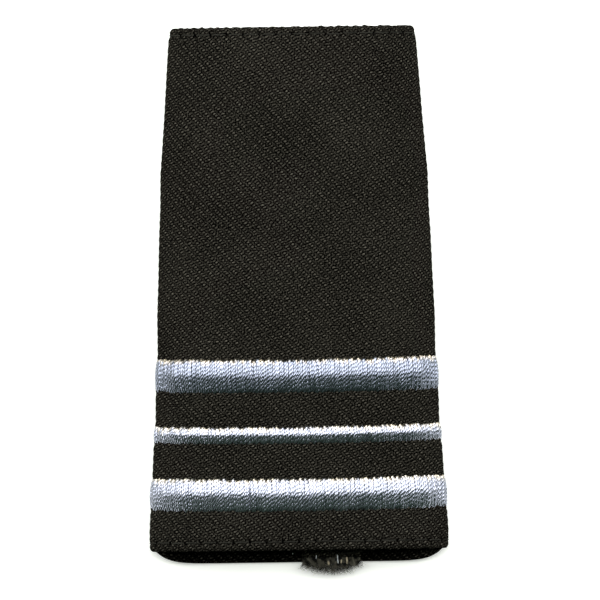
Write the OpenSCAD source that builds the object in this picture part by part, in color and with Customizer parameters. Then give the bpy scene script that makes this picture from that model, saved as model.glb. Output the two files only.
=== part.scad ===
// Slip-on shoulder board: a flattened cloth sleeve, open at both ends, that slides over a shoulder strap.
// Three raised stripes of satin stitch run across its front and round its side folds.
// X runs across the sleeve, Y from its wide end to its narrow end, and Z up.
// The sleeve lies on its back, and the stripes face up.

/* [Sleeve] */
// Length of the front between its two end folds
sleeve_len = 102; // [90:1:120]
// Width over the side folds at the wide end
wide_end_w = 58.4; // [54:0.2:66]
// Width over the side folds at the narrow end
narrow_end_w = 47.8; // [42:0.2:53]
// Thickness of the twill cloth
cloth_t = 1; // [1:0.05:1.3]
// Radius inside a side fold, where the cloth turns back on itself
fold_inner_r = 0.2; // [0.15:0.05:0.5]
// Height that the front arches up above its side folds
crown = 5; // [4:0.1:7]
// Height that the back curves up from the surface at its side folds
back_rise = 0.9; // [0.8:0.05:1.4]
// Length that the back stands out past the front at the wide end
back_lip = 2.4; // [0.5:0.1:4]

/* [Hems] */
// Depth of the cloth turned in at each end
hem_depth = 9; // [6:0.5:11]
// Thickness that the pressed turn-in adds to the wall
hem_extra_t = 0.6; // [0.4:0.05:0.9]

/* [Stripes] */
// Width of the upper and the lower stripe
wide_stripe_w = 6.2; // [4:0.1:8]
// Width of the middle stripe
narrow_stripe_w = 3.2; // [2:0.1:5]
// Bare cloth between two stripes
stripe_gap = 6.9; // [4:0.1:9]
// Bare cloth between the lower stripe and the wide end
stripe_margin = 7.9; // [5:0.1:12]
// Height of a wide stripe's ridge above the cloth
wide_stripe_h = 0.85; // [0.6:0.05:1.1]
// Height of the narrow stripe's ridge above the cloth
narrow_stripe_h = 0.6; // [0.45:0.05:0.9]
// Length of stitching carried round each side fold onto the back
stripe_wrap = 5; // [3:0.5:6]
// Height that a stripe's ends curve up towards the narrow end
stripe_bow = 0.4; // [0:0.1:1]

/* [Seam] */
// Distance of the back seam from the middle
seam_offset = 0.5; // [-3:0.1:3]
// Width of the groove along the back seam
seam_groove_w = 1.2; // [0.8:0.1:2]
// Depth of the groove along the back seam
seam_groove_depth = 0.4; // [0.2:0.05:0.6]
// Width of the seam allowance, pressed to one side
allowance_w = 11.5; // [6:0.5:14]
// Thickness of the two overlocked layers of the allowance
allowance_t = 1.4; // [1:0.1:1.8]
// Length that the frayed end stands out past the back's edge
fray_len = 2.2; // [1:0.1:5]
// Width of one lock of frayed yarn
fray_lock_w = 1; // [0.7:0.1:1.5]

/* [Hidden] */

// Gap between pieces that lie on each other
clearance = 0.05;

// How far along the sleeve, from the wide end, and the share of the taper left there.
// Columns: share of the length, share of the way from narrow_end_w to wide_end_w.
// The side folds bend outward below each stiff stripe.
taper = [
    [0.00, 1.00],
    [0.04, 0.99],
    [0.08, 0.95],
    [0.15, 0.85],
    [0.20, 0.80],
    [0.25, 0.71],
    [0.30, 0.70],
    [0.38, 0.60],
    [0.45, 0.60],
    [0.52, 0.54],
    [0.60, 0.49],
    [0.66, 0.43],
    [0.72, 0.41],
    [0.77, 0.33],
    [0.83, 0.24],
    [0.90, 0.15],
    [0.96, 0.07],
    [1.00, 0.00],
];
// Stations of the smoother inner face, as shares of the length
inner_stations = [0.8, 0.62, 0.45, 0.3, 0.18];

// Side profile of the front's arch: flat in the middle, falling towards the folds
arch_power = 5;
// Share of the back's half width that lies flat on the surface
back_flat_share = 0.45;
back_curve_share = 1 - back_flat_share;

fold_r = cloth_t + fold_inner_r;
fold_tip_r = fold_inner_r / 2;
hem_t = cloth_t + hem_extra_t;
rim_r = hem_t / 2;
// Length over which the wall steps from the hem's thickness to the cloth's
hem_step = 0.15;

// The frayed end sets how far the outline reaches past the wide end, and the origin is the outline's middle
y_wide = -sleeve_len / 2 + (back_lip + fray_len) / 2;

// Numbers of points round the sleeve
fold_steps = 6;
front_steps = 22;
back_steps = 7;
rim_steps = 4;

// Section of the sleeve. v is the share of the length from the wide end, and inset the depth below
// the outer face, so a negative inset lies above it.

function half_w(v) = (narrow_end_w + (wide_end_w - narrow_end_w) * lookup(v, taper)) / 2;
function fold_x(v) = half_w(v) - fold_r;

function front_fold_angle(v) = atan(crown * arch_power / (fold_x(v) + fold_r / 2));
function front_end_x(v) = fold_x(v) + fold_r * sin(front_fold_angle(v));
function back_fold_angle(v) = atan(2 * back_rise / (back_curve_share * fold_x(v)));
function back_end_x(v) = fold_x(v) + fold_r * sin(back_fold_angle(v));
function fold_z(v) = back_rise + fold_r * cos(back_fold_angle(v));

function stretch(slope) = sqrt(1 + slope * slope);

function front_z(x, v, inset) =
    let (end_x = front_end_x(v),
         share = abs(x) / end_x,
         slope = crown * arch_power / end_x * pow(share, arch_power - 1))
    fold_z(v) + fold_r * cos(front_fold_angle(v)) + crown * (1 - pow(share, arch_power))
        - inset * stretch(slope);

function back_z(x, v, inset) =
    let (end_x = back_end_x(v),
         share = max(0, (abs(x) / end_x - back_flat_share) / back_curve_share),
         slope = 2 * back_rise * share / (back_curve_share * end_x))
    back_rise * share * share + inset * stretch(slope);

// Radius of a side fold at a depth, and how far its centre moves in where the wall is thicker than the fold
function fold_r_at(inset) = max(fold_r - inset, fold_tip_r);
function fold_shift(v, inset) =
    2 * (fold_r_at(inset) - fold_r + inset) / (tan(front_fold_angle(v)) + tan(back_fold_angle(v)));

// Point on a side fold: turn runs from 0 at the back to 1 at the front, and side is 1 or -1
function fold_point(turn, side, v, inset) =
    let (r = fold_r_at(inset),
         centre = fold_x(v) - fold_shift(v, inset),
         front_angle = 90 - front_fold_angle(v),
         back_angle = back_fold_angle(v) - 90,
         angle = back_angle + turn * (front_angle - back_angle),
         low = back_z(centre + r * cos(back_angle), v, inset),
         high = front_z(centre + r * cos(front_angle), v, inset),
         rise = (sin(angle) - sin(back_angle)) / (sin(front_angle) - sin(back_angle)))
    [side * (centre + r * cos(angle)), low + rise * (high - low)];

// Point on the front: share runs from -1 at the left fold to 1 at the right one
function front_point(share, v, inset) =
    let (x = share * (fold_x(v) - fold_shift(v, inset) + fold_r_at(inset) * sin(front_fold_angle(v))))
    [x, front_z(x, v, inset)];

// Points on the back between the left fold and the seam's groove, or between the groove and the right fold
function back_half(side, v, inset) =
    let (near = seam_offset + side * seam_groove_w / 2,
         far = side * (fold_x(v) - fold_shift(v, inset) + fold_r_at(inset) * sin(back_fold_angle(v))),
         order = side < 0 ? [back_steps - 1 : -1 : 0] : [0 : back_steps - 1])
    [for (i = order)
        let (x = near + (far - near) * i / back_steps)
        [x, back_z(x, v, inset)]];

function groove_point(v, inset) =
    [seam_offset, back_z(seam_offset, v, inset) + (inset > 0 ? 0 : seam_groove_depth)];

// Closed loop round the sleeve, as [x, z] points: right fold, front, left fold and back
function section(v, inset) = concat(
    [for (i = [0 : fold_steps]) fold_point(i / fold_steps, 1, v, inset)],
    [for (i = [1 : front_steps - 1]) front_point(cos(180 * i / front_steps), v, inset)],
    [for (i = [fold_steps : -1 : 0]) fold_point(i / fold_steps, -1, v, inset)],
    back_half(-1, v, inset),
    [groove_point(v, inset)],
    back_half(1, v, inset)
);
front_and_folds = 2 * (fold_steps + 1) + front_steps - 1;
loop_count = front_and_folds + 2 * back_steps + 1;

// Shape of the back's edge: nearly straight, and curved up to the front's edge at the folds
lip_power = 7;

// How far the back stands out past the front, at a place across the wide end
function lip_at(x, v) = back_lip * max(0, 1 - pow(abs(x) / fold_x(v), lip_power));

// The back's points slide towards the wide end by the lip, and less so further along
function section_at(distance, inset) =
    let (v = distance / sleeve_len, loop = section(v, inset))
    [for (k = [0 : loop_count - 1])
        let (lip = k < front_and_folds ? 0 : lip_at(loop[k][0], v) * (1 - v))
        [loop[k][0], y_wide + distance - lip, loop[k][1]]];

// Rim of doubled cloth, as [distance from the end, inset], from the outer face to the inner one
rim = [for (i = [0 : rim_steps])
    let (angle = 90 - 180 * i / rim_steps)
    [rim_r * (1 - cos(angle)), rim_r * (1 - sin(angle))]];

// The wall from the outer face at the wide end, round the narrow rim and back along the inner face
wall = concat(
    [for (row = taper) if (row[0] > 0 && row[0] < 1) [row[0] * sleeve_len, 0]],
    [for (step = rim) [sleeve_len - step[0], step[1]]],
    [[sleeve_len - hem_depth, hem_t], [sleeve_len - hem_depth - hem_step, cloth_t]],
    [for (station = inner_stations) [station * sleeve_len, cloth_t]],
    [[hem_depth + hem_step, cloth_t], [hem_depth, hem_t]],
    [for (i = [rim_steps : -1 : 0]) rim[i]]
);

// Triangles between rings of equally many points. A closed chain of rings joins its last to its first.
function ring_faces(rings, count, closed) =
    [for (i = [0 : rings - (closed ? 1 : 2)], k = [0 : count - 1])
        let (a = i * count + k,
             b = i * count + (k + 1) % count,
             c = (i + 1) % rings * count + (k + 1) % count,
             d = (i + 1) % rings * count + k)
        each [[a, b, c], [a, c, d]]];

// Fans that close the first and the last ring
function cap_faces(rings, count) =
    let (last = (rings - 1) * count)
    [for (k = [1 : count - 2]) each [[0, k + 1, k], [last, last + k, last + k + 1]]];

// One piece of cloth: the tube, with its ends turned in as hems
module sleeve() {
    color("#26241f")
        polyhedron([for (place = wall) each section_at(place[0], place[1])],
                   ring_faces(len(wall), loop_count, true));
}

// Height of a stripe's stitches along its route, as a share of the ridge's height
front_share = 1;
fold_share = 0.45;
end_share = 0.2;
// Length over which the stitches on the front rise from the fold to their full height
stripe_ease = 4;
// Height of a stripe's edges, as a share of its ridge's height
stripe_edge_share = 0.3;
stripe_steps = 8;
wrap_steps = 4;

// Route of a stripe round the sleeve, as [kind, place, side, share of the height].
// Kinds: 0 on the back, with the length left to the fold; 1 on a fold; 2 on the front.
function wrap_route(side, order) = [for (i = order)
    [0, stripe_wrap * (1 - i / wrap_steps), side, end_share + (fold_share - end_share) * i / wrap_steps]];
stripe_route = concat(
    wrap_route(1, [0 : wrap_steps - 1]),
    [for (i = [0 : fold_steps]) [1, i / fold_steps, 1, fold_share]],
    [for (i = [1 : front_steps - 1]) [2, cos(180 * i / front_steps), 0, front_share]],
    [for (i = [fold_steps : -1 : 0]) [1, i / fold_steps, -1, fold_share]],
    wrap_route(-1, [wrap_steps - 1 : -1 : 0])
);

// Cross-section of a stripe, as [share across, share of the height], over the top and back underneath
stripe_profile = concat(
    [for (i = [0 : stripe_steps])
        let (across = cos(180 * i / stripe_steps))
        [across, stripe_edge_share + (1 - stripe_edge_share) * (1 - across * across)]],
    [[-1, 0], [0, 0], [1, 0]]
);

function route_point(stop, v, inset) =
    stop[0] == 1 ? fold_point(stop[1], stop[2], v, inset) :
    stop[0] == 2 ? front_point(stop[1], v, inset) :
    let (x = stop[2] * (fold_x(v) - stop[1]))
    [x, back_z(x, v, inset)];

function eased(stop, v) =
    stop[0] == 2
        ? fold_share + (front_share - fold_share)
            * min(1, front_end_x(v) * (1 - abs(stop[1])) / stripe_ease)
        : stop[3];

function stripe_ring(stop, middle, width, ridge) =
    let (across = stop[0] == 2 ? stop[1] : 1,
         bow = stripe_bow * across * across)
    [for (corner = stripe_profile)
        let (distance = middle + bow + corner[0] * width / 2,
             v = distance / sleeve_len,
             height = ridge * corner[1] * eased(stop, v),
             place = route_point(stop, v, -clearance - height))
        [place[0], y_wide + distance, place[1]]];

// Band of satin stitch over a padding, with a rounded ridge
module stripe(middle, width, ridge) {
    rings = [for (stop = stripe_route) stripe_ring(stop, middle, width, ridge)];
    color("#aab4c0")
        polyhedron([for (ring = rings) each ring],
                   concat(ring_faces(len(rings), len(stripe_profile), false),
                          cap_faces(len(rings), len(stripe_profile))));
}

lower_middle = stripe_margin + wide_stripe_w / 2;
middle_middle = stripe_margin + wide_stripe_w + stripe_gap + narrow_stripe_w / 2;
upper_middle = stripe_margin + 1.5 * wide_stripe_w + 2 * stripe_gap + narrow_stripe_w;

module stripe_lower() { stripe(lower_middle, wide_stripe_w, wide_stripe_h); }
module stripe_middle() { stripe(middle_middle, narrow_stripe_w, narrow_stripe_h); }
module stripe_upper() { stripe(upper_middle, wide_stripe_w, wide_stripe_h); }

// Length of the allowance's end that stays short of the rims
allowance_setback = 1;
// Share of the allowance's width that is rounded at its overlocked edge
overlock_share = 0.06;
// Length over which the allowance climbs onto a hem
allowance_climb = 0.6;
allowance_spans = 7;

// Places along the allowance, as [distance, depth of the face that it lies on]
allowance_wall = [
    [allowance_setback, hem_t],
    [hem_depth, hem_t],
    [hem_depth + allowance_climb, cloth_t],
    for (i = [1 : allowance_spans - 1]) [sleeve_len * i / allowance_spans, cloth_t],
    [sleeve_len - hem_depth - allowance_climb, cloth_t],
    [sleeve_len - hem_depth, hem_t],
    [sleeve_len - allowance_setback, hem_t],
];
// Cross-section of the allowance, as [share of the width, share of the thickness]
allowance_profile = [
    [1, 0.3], [1, 0.7], [1 - overlock_share, 1], [0.5, 0.94], [overlock_share, 1],
    [0, 0.85], [0, 0], [0.5, 0], [1 - overlock_share, 0],
];

// The seam's two layers of cloth, overlocked together and pressed to one side inside the back
module seam_allowance() {
    rings = [for (place = allowance_wall)
        let (v = place[0] / sleeve_len)
        [for (corner = allowance_profile)
            let (x = seam_offset + corner[0] * allowance_w)
            [x,
             y_wide + place[0] - lip_at(x, v) * (1 - v),
             back_z(x, v, place[1] + clearance) + corner[1] * allowance_t]]];
    color("#2b2823")
        polyhedron([for (ring = rings) each ring],
                   concat(ring_faces(len(rings), len(allowance_profile), false),
                          cap_faces(len(rings), len(allowance_profile))));
}

// Lengths of the locks, as shares of fray_len, repeated across the frayed end
lock_lengths = [0.55, 0.8, 0.65, 1, 0.7, 0.9, 0.6, 0.85];
lock_count = floor(allowance_w / fray_lock_w);
lock_pitch = allowance_w / lock_count;
// Thickness of the locks, as a share of allowance_t
lock_t_share = 0.7;
// Share of a lock's pitch that each of its slanting sides takes
lock_side_share = 0.35;
// Depth of the notches between locks, as a share of fray_len
notch_share = 0.35;

function lock_length(i) = fray_len * lock_lengths[i % len(lock_lengths)];

// Raw end of the allowance at the wide end: locks of yarn that stand out past the back's edge
module frayed_end() {
    head_y = y_wide - back_lip + allowance_setback - clearance;
    edge_y = y_wide - back_lip;
    outline = concat(
        [[seam_offset + allowance_w, head_y], [seam_offset, head_y]],
        [for (i = [0 : lock_count - 1])
            let (x = seam_offset + i * lock_pitch, tip_y = edge_y - lock_length(i))
            each [
                [x, edge_y - (i == 0 ? 0 : notch_share * fray_len)],
                [x + lock_side_share * lock_pitch, tip_y],
                [x + (1 - lock_side_share) * lock_pitch, tip_y],
            ]],
        [[seam_offset + allowance_w, edge_y]]
    );
    color("#3a342b")
        translate([0, 0, hem_t + clearance])
            linear_extrude(height = lock_t_share * allowance_t)
                polygon(outline);
}

sleeve();
stripe_upper();
stripe_middle();
stripe_lower();
seam_allowance();
frayed_end();
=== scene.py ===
import math

import bpy
import numpy as np
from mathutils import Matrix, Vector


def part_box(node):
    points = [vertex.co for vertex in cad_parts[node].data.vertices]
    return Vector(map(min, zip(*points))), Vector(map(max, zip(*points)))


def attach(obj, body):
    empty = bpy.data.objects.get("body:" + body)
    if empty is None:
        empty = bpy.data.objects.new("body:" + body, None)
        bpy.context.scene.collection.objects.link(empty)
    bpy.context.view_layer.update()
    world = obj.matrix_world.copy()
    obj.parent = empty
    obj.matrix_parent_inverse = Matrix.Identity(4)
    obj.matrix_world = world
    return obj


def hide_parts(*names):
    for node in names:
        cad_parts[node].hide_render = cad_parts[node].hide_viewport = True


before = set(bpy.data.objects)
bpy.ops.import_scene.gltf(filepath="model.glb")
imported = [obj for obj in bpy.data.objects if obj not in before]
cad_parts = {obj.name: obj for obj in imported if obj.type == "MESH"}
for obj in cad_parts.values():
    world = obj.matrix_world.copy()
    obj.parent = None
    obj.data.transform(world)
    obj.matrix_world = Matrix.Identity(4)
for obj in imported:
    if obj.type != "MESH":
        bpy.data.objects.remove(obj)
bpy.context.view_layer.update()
mm = 0.001

# Camera. The sleeve was pictured on a flatbed scanner, so the camera looks straight down through
# a lens so long that there is hardly any perspective. The sleeve lies a little turned in the
# picture, and the camera is rolled by as much.
picture_side = 600  # pixels
pixel = 0.1946 * mm  # at the height of the front
sleeve_middle_in_picture = np.array([295.6, 288.4])
roll = math.radians(-0.8)
lens = 1000  # this and the sensor's width are in millimetres
sensor = 36
sleeve_low, sleeve_high = (np.array(corner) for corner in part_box("sleeve"))
back_lip = 2.4 * mm  # how far the back stands out past the front at the wide end
wide_y = sleeve_low[1] + back_lip
sleeve_len = sleeve_high[1] - wide_y
front_top = sleeve_high[2]
picture_right = np.array([math.cos(roll), math.sin(roll)])
picture_up = np.array([-math.sin(roll), math.cos(roll)])
aside, ahead = (sleeve_middle_in_picture - picture_side / 2) * pixel * [1, -1]
aim = np.array([0, wide_y + sleeve_len / 2]) - aside * picture_right - ahead * picture_up
camera = bpy.data.objects.new("camera", bpy.data.cameras.new("camera"))
camera.data.lens = lens
camera.data.sensor_width = sensor
camera.location = (*aim, front_top + picture_side * pixel * lens / sensor)
camera.rotation_euler = (0, 0, roll)
camera.data.clip_start = 0.1
camera.data.clip_end = 20
bpy.context.scene.collection.objects.link(camera)
bpy.context.scene.camera = camera


# Table and light. A sheet of matt white card that glows a little, as a scanner's lid seems to,
# under one wide soft lamp that leans towards the narrow end. The card's glow is painted light:
# it lightens the shadows cast on the card. A faint greenish light comes from all round, and least
# from the wide end's side.
def add_node(tree, kind, *sources, **settings):
    """A shader node whose inputs, in order, are linked to sockets or set to values."""
    node = tree.nodes.new(kind)
    for name, value in settings.items():
        setattr(node, name, value)
    for socket, source in zip(node.inputs, sources):
        if isinstance(source, bpy.types.NodeSocket):
            tree.links.new(source, socket)
        elif source is not None:
            socket.default_value = source
    return node


def new_material(name, colour, **sockets):
    """A material of one Principled shader, with its base colour and other sockets set."""
    material = bpy.data.materials.new(name)
    material.use_nodes = True
    shader = material.node_tree.nodes["Principled BSDF"]
    shader.inputs["Base Color"].default_value = (*colour, 1)
    for socket, value in sockets.items():
        shader.inputs[socket.replace("_", " ")].default_value = value
    return material, material.node_tree, shader


def bump(tree, shader, height, depth, strength=1.0):
    """Tilts a shader's normals as a relief of the given height socket and depth does."""
    node = add_node(tree, "ShaderNodeBump")
    node.inputs["Strength"].default_value = strength
    node.inputs["Distance"].default_value = depth
    tree.links.new(height, node.inputs["Height"])
    tree.links.new(node.outputs[0], shader.inputs["Normal"])


def noise(tree, place, scale, detail=2.0, output=0):
    """Noise of a given scale at a place, from 0 to 1, as a number or as the output Color."""
    node = add_node(tree, "ShaderNodeTexNoise", place)
    node.inputs["Scale"].default_value = scale
    node.inputs["Detail"].default_value = detail
    return node.outputs[output]


def add_object(name, mesh, material):
    """An object at the origin that shows a mesh."""
    mesh.materials.append(material)
    made = bpy.data.objects.new(name, mesh)
    bpy.context.scene.collection.objects.link(made)
    return made


table_reach = 4.0
grain_scale = 900
grain_h = 0.02 * mm
grain_strength = 0.3
# The card's emission is painted light, a glow that lightens the shadows on it
card, card_tree, card_shader = new_material(
    "white_card", (0.78, 0.79, 0.76), Roughness=0.9, Specular_IOR_Level=0.1, Emission_Strength=0.36
)
card_shader.inputs["Emission Color"].default_value = (1.0, 1.0, 0.97, 1)
card_place = add_node(card_tree, "ShaderNodeTexCoord").outputs["Object"]
bump(card_tree, card_shader, noise(card_tree, card_place, grain_scale), grain_h, grain_strength)
table_mesh = bpy.data.meshes.new("table")
table_corners = [(-1, -1), (1, -1), (1, 1), (-1, 1)]
table_mesh.from_pydata([(x * table_reach, y * table_reach, 0) for x, y in table_corners], [], [range(4)])
add_object("table", table_mesh, card)

lamp_distance = 0.5
lamp_near_edge = math.radians(-0.5)  # from straight up, towards the narrow end
lamp_far_edge = math.radians(60)
lamp_lean = (lamp_near_edge + lamp_far_edge) / 2
lamp = bpy.data.objects.new("lamp", bpy.data.lights.new("lamp", "AREA"))
lamp.data.shape = "RECTANGLE"
lamp.data.size = 2.1
lamp.data.size_y = 2 * lamp_distance * math.tan((lamp_far_edge - lamp_near_edge) / 2)
lamp.data.energy = 15
lamp.location = (0, lamp_distance * math.sin(lamp_lean), lamp_distance * math.cos(lamp_lean))
lamp.rotation_euler = (-lamp_lean, 0, 0)
lamp.visible_camera = False
bpy.context.scene.collection.objects.link(lamp)

room_tint = (0.44, 1.0, 0.5, 1)
room_strength = 0.09  # from above and from the narrow end's side
dim_strength = 0.04  # from low down on the wide end's side
dim_from = -0.8  # how far a direction points to the narrow end, below which it gets no dimmer
world = bpy.data.worlds.new("room")
world.use_nodes = True
room_tree = world.node_tree
room = room_tree.nodes["Background"]
room.inputs["Color"].default_value = room_tint
direction = add_node(room_tree, "ShaderNodeTexCoord").outputs["Generated"]
endways = add_node(room_tree, "ShaderNodeSeparateXYZ", direction).outputs["Y"]
room_light = add_node(room_tree, "ShaderNodeMapRange", endways, dim_from, 0.0, dim_strength, room_strength)
room_tree.links.new(room_light.outputs[0], room.inputs["Strength"])
bpy.context.scene.world = world
bpy.context.scene.view_settings.view_transform = "Standard"

# Sleeve. One piece of black-brown wool twill, folded at both sides, seamed down the middle of
# its back and turned in at both ends. The weave's slanting ribs stand up from it, and they run
# round the folds and the hems' edges. The stripes' stitching puckers it and calms its slow waves.
cloth_t = 1.0 * mm
hem_t = 1.6 * mm
hem_depth = 9 * mm
fold_r = 1.2 * mm
crown = 5.0 * mm  # height of the front's middle above its folds
arch_power = 5
back_rise = 0.9 * mm
back_flat_share = 0.45  # of the back's half width, from its middle
wide_w = 58.4 * mm
narrow_w = 47.8 * mm
lip_power = 12  # the higher, the squarer the back's corners at the wide end
seam_offset = 0.5 * mm
seam_groove_depth = 0.4 * mm
seam_groove_w = 0.45 * mm
# Shares of the length from the wide end, and there the shares of the way from narrow_w to wide_w
taper = [
    [0, 0.04, 0.08, 0.15, 0.2, 0.25, 0.3, 0.38, 0.45, 0.52, 0.6, 0.66, 0.72, 0.77, 0.83, 0.9, 0.96, 1],
    [1, 0.99, 0.95, 0.85, 0.8, 0.71, 0.7, 0.6, 0.6, 0.54, 0.49, 0.43, 0.41, 0.33, 0.24, 0.15, 0.07, 0],
]
# Each stripe's distance from the wide end to its middle, its width and its ridge's height, and
# the share of that height which it keeps at its upper edge
stripe_rows = {
    "stripe_lower": (10.88 * mm, 6.17 * mm, 0.85 * mm, 0.28),
    "stripe_middle": (22.51 * mm, 3.03 * mm, 0.6 * mm, 0.28),
    "stripe_upper": (34.03 * mm, 6.3 * mm, 0.85 * mm, 0.5),
}
end_pitch = 0.415 * mm  # between warp ends, across the sleeve
pick_pitch = 0.426 * mm  # between weft picks, along it
rib_ends = 4  # ends, and picks, from one rib of the twill to the next
rib_h = 0.09 * mm
front_count = 160  # points along half the front, a fold and half the back
fold_count = 60
back_count = 140
table_rows = 401  # of the tables below, along the sleeve
table_step = 0.1 * mm  # from one of their columns to the next, round it
short_of_last = 1.001  # keeps a look-up inside them
random = np.random.default_rng(4)


def fold_x_at(distance):
    """Half the width less the fold's radius: the fold's centre."""
    return (narrow_w + (wide_w - narrow_w) * np.interp(distance / sleeve_len, *taper)) / 2 - fold_r


def half_section(distance):
    """Half the outer face's section at each distance, from the front's middle to the back's.

    The front falls from its crown by the fifth power of its share of the half width, the fold is
    an arc, and the back rises by the square of its share past its flat middle. The seam's groove
    is a bell curve. Gives x and z."""
    centre = fold_x_at(distance)[:, None]
    front_angle = np.arctan(crown * arch_power / (centre + fold_r / 2))
    back_angle = np.arctan(2 * back_rise / ((1 - back_flat_share) * centre))
    fold_z = back_rise + fold_r * np.cos(back_angle)
    front = np.linspace(0, 1, front_count)
    turn = np.linspace(0, 1, fold_count + 2)[1:-1]
    back = np.linspace(1, 0, back_count)
    front_x = (centre + fold_r * np.sin(front_angle)) * front
    front_z = fold_z + fold_r * np.cos(front_angle) + crown * (1 - front**arch_power)
    angle = (np.pi / 2 - front_angle) + (back_angle - np.pi + front_angle) * turn
    back_x = (centre + fold_r * np.sin(back_angle)) * back
    back_z = back_rise * np.maximum(0, (back - back_flat_share) / (1 - back_flat_share)) ** 2
    back_z = back_z + seam_groove_depth * np.exp(-((back_x / seam_groove_w) ** 2))
    x = np.concatenate([front_x, centre + fold_r * np.cos(angle), back_x], 1)
    z = np.concatenate([front_z, fold_z + fold_r * np.sin(angle), back_z], 1)
    return x, z


def resampled(lengths, values, wanted):
    """Rows of values known at growing lengths, at wanted lengths, with straight lines between."""
    wanted = np.minimum(wanted, lengths[:, -1:])
    shift = np.arange(len(lengths))[:, None]
    flat = np.interp((wanted + shift).ravel(), (lengths + shift).ravel(), values.ravel())
    return flat.reshape(wanted.shape)


table_distances = np.linspace(0, sleeve_len, table_rows)
section_x, section_z = half_section(table_distances)
step_lengths = np.hypot(np.diff(section_x, axis=1), np.diff(section_z, axis=1))
section_lengths = np.pad(np.cumsum(step_lengths, 1), ((0, 0), (1, 0)))
half_girths = section_lengths[:, -1]
front_lengths = section_lengths[:, front_count - 1]
fold_lengths = section_lengths[:, front_count + fold_count]
table_around = np.arange(0, half_girths.max() + table_step, table_step)[None, :]
table_x = resampled(section_lengths, section_x, table_around)
table_z = resampled(section_lengths, section_z, table_around)


def along_sleeve(values, distance):
    """Values kept for each distance of the table, at other distances."""
    return np.interp(distance, table_distances, values)


def looked_up(table, around, distance):
    """A table's value between its entries, each of the four neighbours weighted by its nearness."""
    row = np.clip(distance / sleeve_len * (table_rows - 1), 0, table_rows - short_of_last)
    column = np.clip(around / table_step, 0, table.shape[1] - short_of_last)
    r, c = row.astype(int), column.astype(int)
    past_row, past_column = row - r, column - c
    low = table[r, c] * (1 - past_column) + table[r, c + 1] * past_column
    high = table[r + 1, c] * (1 - past_column) + table[r + 1, c + 1] * past_column
    return low * (1 - past_row) + high * past_row


def lip_at(x, distance):
    """How far the back stands out past the front: the lip, less by the twelfth power of the share
    out to the fold, and less in proportion to the distance from the wide end."""
    share = np.minimum(1, np.abs(x) / fold_x_at(distance))
    return back_lip * (1 - share**lip_power) * (1 - distance / sleeve_len)


def on_sleeve(around, distance, height):
    """Points over the outer face, and the face's normals there.

    around is the length round the section from the middle of the front, negative to the left,
    distance the length from the wide end, and height the length above the face, along its normal
    in the section's plane. The back slides towards the wide end by the lip, and to the right by
    the seam's offset, less by the square of the share out to the fold."""
    side = np.where(around < 0, -1.0, 1.0)
    length = np.minimum(np.abs(around), along_sleeve(half_girths, distance) - table_step / 2)
    x, z = (looked_up(table, length, distance) for table in (table_x, table_z))
    reach = table_step / 2
    ahead_x, ahead_z = (looked_up(table, length + reach, distance) for table in (table_x, table_z))
    behind_x, behind_z = (looked_up(table, length - reach, distance) for table in (table_x, table_z))
    run, rise = ahead_x - behind_x, ahead_z - behind_z
    size = np.maximum(np.hypot(run, rise), 1e-9)
    normal = np.stack([-side * rise / size, 0 * x, run / size], -1)
    behind = length > along_sleeve(front_lengths, distance)
    aside = seam_offset * np.maximum(0, 1 - (x / fold_x_at(distance)) ** 2) * behind
    points = np.stack([side * x + aside, wide_y + distance - lip_at(x, distance) * behind, z], -1)
    return points + normal * height[..., None], normal


def faded(value, start, end):
    """0 up to start, 1 from end, and between them thrice the share's square less twice its cube."""
    share = np.clip((value - start) / (end - start), 0, 1)
    return share * share * (3 - 2 * share)


def waves(around, distance, table):
    """The mean of sines, each with its length, its direction and its phase."""
    total = 0
    for length, turn, phase in table:
        run = around * math.cos(turn) + distance * math.sin(turn)
        total = total + np.sin(2 * np.pi * run / length + phase)
    return total / len(table)


def wave_table(shortest, longest, turn_low, turn_high, count):
    """Random lengths, directions and phases for waves, spread evenly between their limits."""
    lows, highs = (shortest, turn_low, 0), (longest, turn_high, 2 * np.pi)
    return random.uniform(lows, highs, (count, 3))


slow_waves = wave_table(9 * mm, 26 * mm, 0, np.pi, 7)
pucker_waves = wave_table(3.5 * mm, 8 * mm, -0.15, 0.15, 5)
slow_wave_h = 0.24 * mm
stripe_stiffness = 0.65  # share of the slow waves that a stripe's stitching flattens
pucker_h = 0.2 * mm
pucker_reach = 2.6 * mm
calm_len = 4 * mm  # before a fold, over which the unevenness dies away
edge_waves = wave_table(0.9 * mm, 5 * mm, 0, 0, 9)
edge_waver_h = 0.35 * mm


def cloth_lift(around, distance):
    """Height of the front's unevenness: slow waves, and puckers at the stripes.

    By a bell curve of the distance from a stripe's edge, the puckers die away and the slow waves
    come back to their full height. Both fade out before the folds."""
    near = 0
    for middle, width, _, _ in stripe_rows.values():
        away = np.maximum(0, np.abs(distance - middle) - width / 2)
        near = near + np.exp(-((away / pucker_reach) ** 2))
    lift = slow_wave_h * (1 - stripe_stiffness * near) * waves(around, distance, slow_waves)
    lift = lift + pucker_h * near * waves(around, distance, pucker_waves)
    fold_start = along_sleeve(front_lengths, distance)
    return lift * (1 - faded(np.abs(around), fold_start - calm_len, fold_start))


def new_mesh(name, points, faces, maps):
    """A smooth mesh from points, faces of equally many corners, and maps given at the corners."""
    mesh = bpy.data.meshes.new(name)
    mesh.vertices.add(len(points))
    mesh.vertices.foreach_set("co", np.ascontiguousarray(points, np.float32).ravel())
    mesh.loops.add(faces.size)
    mesh.loops.foreach_set("vertex_index", np.ascontiguousarray(faces, np.int32).ravel())
    mesh.polygons.add(len(faces))
    mesh.polygons.foreach_set("loop_start", np.arange(0, faces.size, faces.shape[1], dtype=np.int32))
    mesh.polygons.foreach_set("use_smooth", np.ones(len(faces), bool))
    for map_name, corners in maps.items():
        layer = mesh.uv_layers.new(name=map_name)
        layer.data.foreach_set("uv", np.ascontiguousarray(corners, np.float32).ravel())
    mesh.update(calc_edges=True)
    return mesh


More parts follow.
